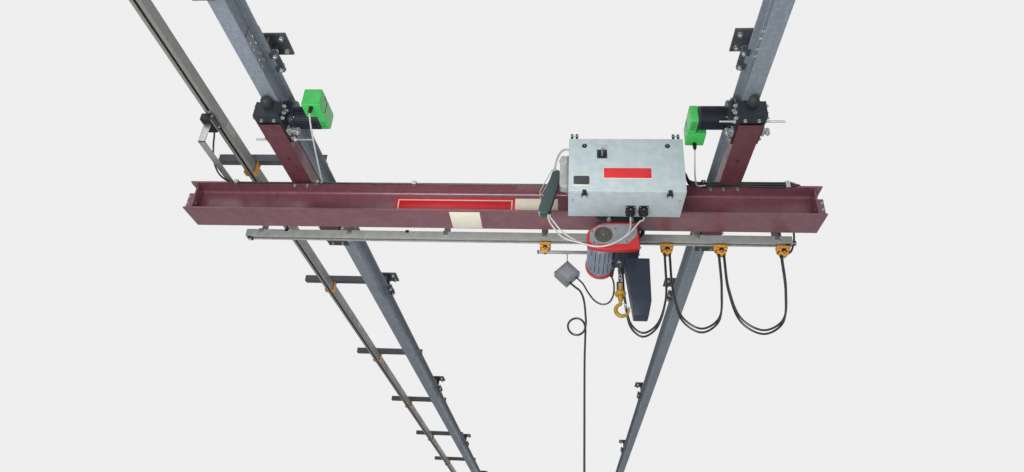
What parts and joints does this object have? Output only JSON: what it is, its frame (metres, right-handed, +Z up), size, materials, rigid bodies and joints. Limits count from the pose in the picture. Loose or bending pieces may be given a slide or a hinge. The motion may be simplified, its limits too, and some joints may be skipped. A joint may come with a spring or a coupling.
{
  "type": "overhead bridge crane",
  "caption": "Single-girder suspension crane on two runway beams, with end carriages, travel drives, control cabinet, trolley with chain hoist, cable festoon and pendant.",
  "frame": {"origin": "middle of the top face of the first hanger's head plate on the left runway beam, the face that meets the building's steel", "axes": "+X along the girder towards the right beam, +Y along the runway away from the near end, +Z up"},
  "size_m": [3.7, 12.35, 3.39],
  "materials": {
    "runway_steel": "satin",
    "hanger_steel": "satin",
    "conductor_plastic": "satin",
    "arm_yellow": "satin",
    "oxide_red": "satin",
    "dark_steel": "satin",
    "zinc": "satin",
    "rubber": "matte",
    "motor_black": "satin",
    "hood_green": "gloss",
    "cabinet_grey": "satin",
    "black_plastic": "satin",
    "wheel_steel": "satin",
    "hoist_silver": "satin",
    "hoist_red": "gloss",
    "container_black": "satin",
    "chain_zinc": "satin",
    "hook_yellow": "satin",
    "carrier_yellow": "satin",
    "cable_black": "matte",
    "cable_grey": "matte",
    "junction_grey": "satin"
  },
  "bodies": {
    "runway": {"track_left": "runway_steel", "track_right": "runway_steel", "track_hangers_left": "hanger_steel", "track_hangers_right": "hanger_steel", "track_stops": "hanger_steel", "conductor_rail": "conductor_plastic", "conductor_arms": "arm_yellow"},
    "bridge": {"girder": "oxide_red", "carriage_left": "oxide_red", "carriage_right": "oxide_red", "carriage_cheeks": "dark_steel", "carriage_buffers": "rubber", "gauge_rods": "zinc", "clamp_castings": "zinc", "drive_left": "motor_black", "drive_right": "motor_black", "drive_hood_left": "hood_green", "drive_hood_right": "hood_green", "cabinet_shell": "cabinet_grey", "cabinet_brackets": "dark_steel", "cabinet_plugs": "black_plastic", "festoon_rail": "zinc", "festoon_brackets": "zinc", "festoon_anchor": "carrier_yellow", "cable_clips": "zinc", "collector": "dark_steel", "drive_leads": "cable_grey", "cabinet_leads": "cable_grey", "girder_leads": "cable_black", "festoon_loop_3": "cable_black"},
    "cabinet_door": {"cabinet_door": "cabinet_grey"},
    "main_switch": {"main_switch": "black_plastic"},
    "near_wheels": {"near_wheels": "wheel_steel"},
    "far_wheels": {"far_wheels": "wheel_steel"},
    "trolley": {"trolley_frame": "dark_steel", "hoist_motor": "hoist_silver", "hoist_gear_case": "motor_black", "hoist_front_cover": "hoist_red", "hoist_rear_cover": "hoist_red", "chain_container": "container_black", "tow_arm": "zinc", "pendant_junction": "junction_grey", "pendant_cable": "cable_black", "pendant_station": "hook_yellow", "pendant_lead": "cable_black", "festoon_loop_1": "cable_black"},
    "trolley_wheels_left": {"trolley_wheels_left": "wheel_steel"},
    "trolley_wheels_right": {"trolley_wheels_right": "wheel_steel"},
    "hook_block": {"load_chain": "chain_zinc", "hook_block": "hook_yellow"},
    "hook": {"hook": "hook_yellow"},
    "festoon_1": {"festoon_trolley_1": "carrier_yellow", "festoon_loop_2": "cable_black"},
    "festoon_2": {"festoon_trolley_2": "carrier_yellow"}
  },
  "joints": [
    {"name": "bridge_travel", "type": "slide", "parent": "runway", "child": "bridge", "axis": [0, 1, 0], "range_m": [-0.664, 9.914]},
    {"name": "near_wheels_turn", "type": "hinge", "parent": "bridge", "child": "near_wheels", "pos_m": [1.25, 0.26, -0.2373], "axis": [1, 0, 0], "continuous": true},
    {"name": "far_wheels_turn", "type": "hinge", "parent": "bridge", "child": "far_wheels", "pos_m": [1.25, 1.38, -0.2373], "axis": [1, 0, 0], "continuous": true},
    {"name": "cabinet_door_hinge", "type": "hinge", "parent": "bridge", "child": "cabinet_door", "pos_m": [1.895, 0.4383, -0.666], "axis": [1, 0, 0], "range_deg": [0, 100]},
    {"name": "main_switch_turn", "type": "hinge", "parent": "cabinet_door", "child": "main_switch", "pos_m": [1.767, 0.416, -0.42], "axis": [0, 1, 0], "range_deg": [0, 90]},
    {"name": "trolley_travel", "type": "slide", "parent": "bridge", "child": "trolley", "axis": [1, 0, 0], "range_m": [-1.75, 0.55], "deforming": ["festoon_loop_1", "festoon_loop_2", "festoon_loop_3"]},
    {"name": "trolley_wheels_left_turn", "type": "hinge", "parent": "trolley", "child": "trolley_wheels_left", "pos_m": [1.768, 0.82, -0.5497], "axis": [0, 1, 0], "continuous": true},
    {"name": "trolley_wheels_right_turn", "type": "hinge", "parent": "trolley", "child": "trolley_wheels_right", "pos_m": [1.988, 0.82, -0.5497], "axis": [0, 1, 0], "continuous": true},
    {"name": "hook_lift", "type": "slide", "parent": "trolley", "child": "hook_block", "axis": [0, 0, 1], "range_m": [-0.18, 0]},
    {"name": "hook_swivel", "type": "hinge", "parent": "hook_block", "child": "hook", "pos_m": [1.878, 0.82, -1.08], "axis": [0, 0, 1], "continuous": true},
    {"name": "festoon_1_travel", "type": "slide", "parent": "bridge", "child": "festoon_1", "axis": [1, 0, 0], "range_m": [-1.17, 0.37]},
    {"name": "festoon_2_travel", "type": "slide", "parent": "bridge", "child": "festoon_2", "axis": [1, 0, 0], "range_m": [-0.59, 0.19]}
  ],
  "couplings": [
    {"joint": "near_wheels_turn", "follows": "bridge_travel", "rad_per_m": -22.222},
    {"joint": "far_wheels_turn", "follows": "bridge_travel", "rad_per_m": -22.222},
    {"joint": "trolley_wheels_left_turn", "follows": "trolley_travel", "rad_per_m": 25},
    {"joint": "trolley_wheels_right_turn", "follows": "trolley_travel", "rad_per_m": 25},
    {"joint": "festoon_1_travel", "follows": "trolley_travel", "ratio": 0.6667},
    {"joint": "festoon_2_travel", "follows": "trolley_travel", "ratio": 0.3333}
  ]
}
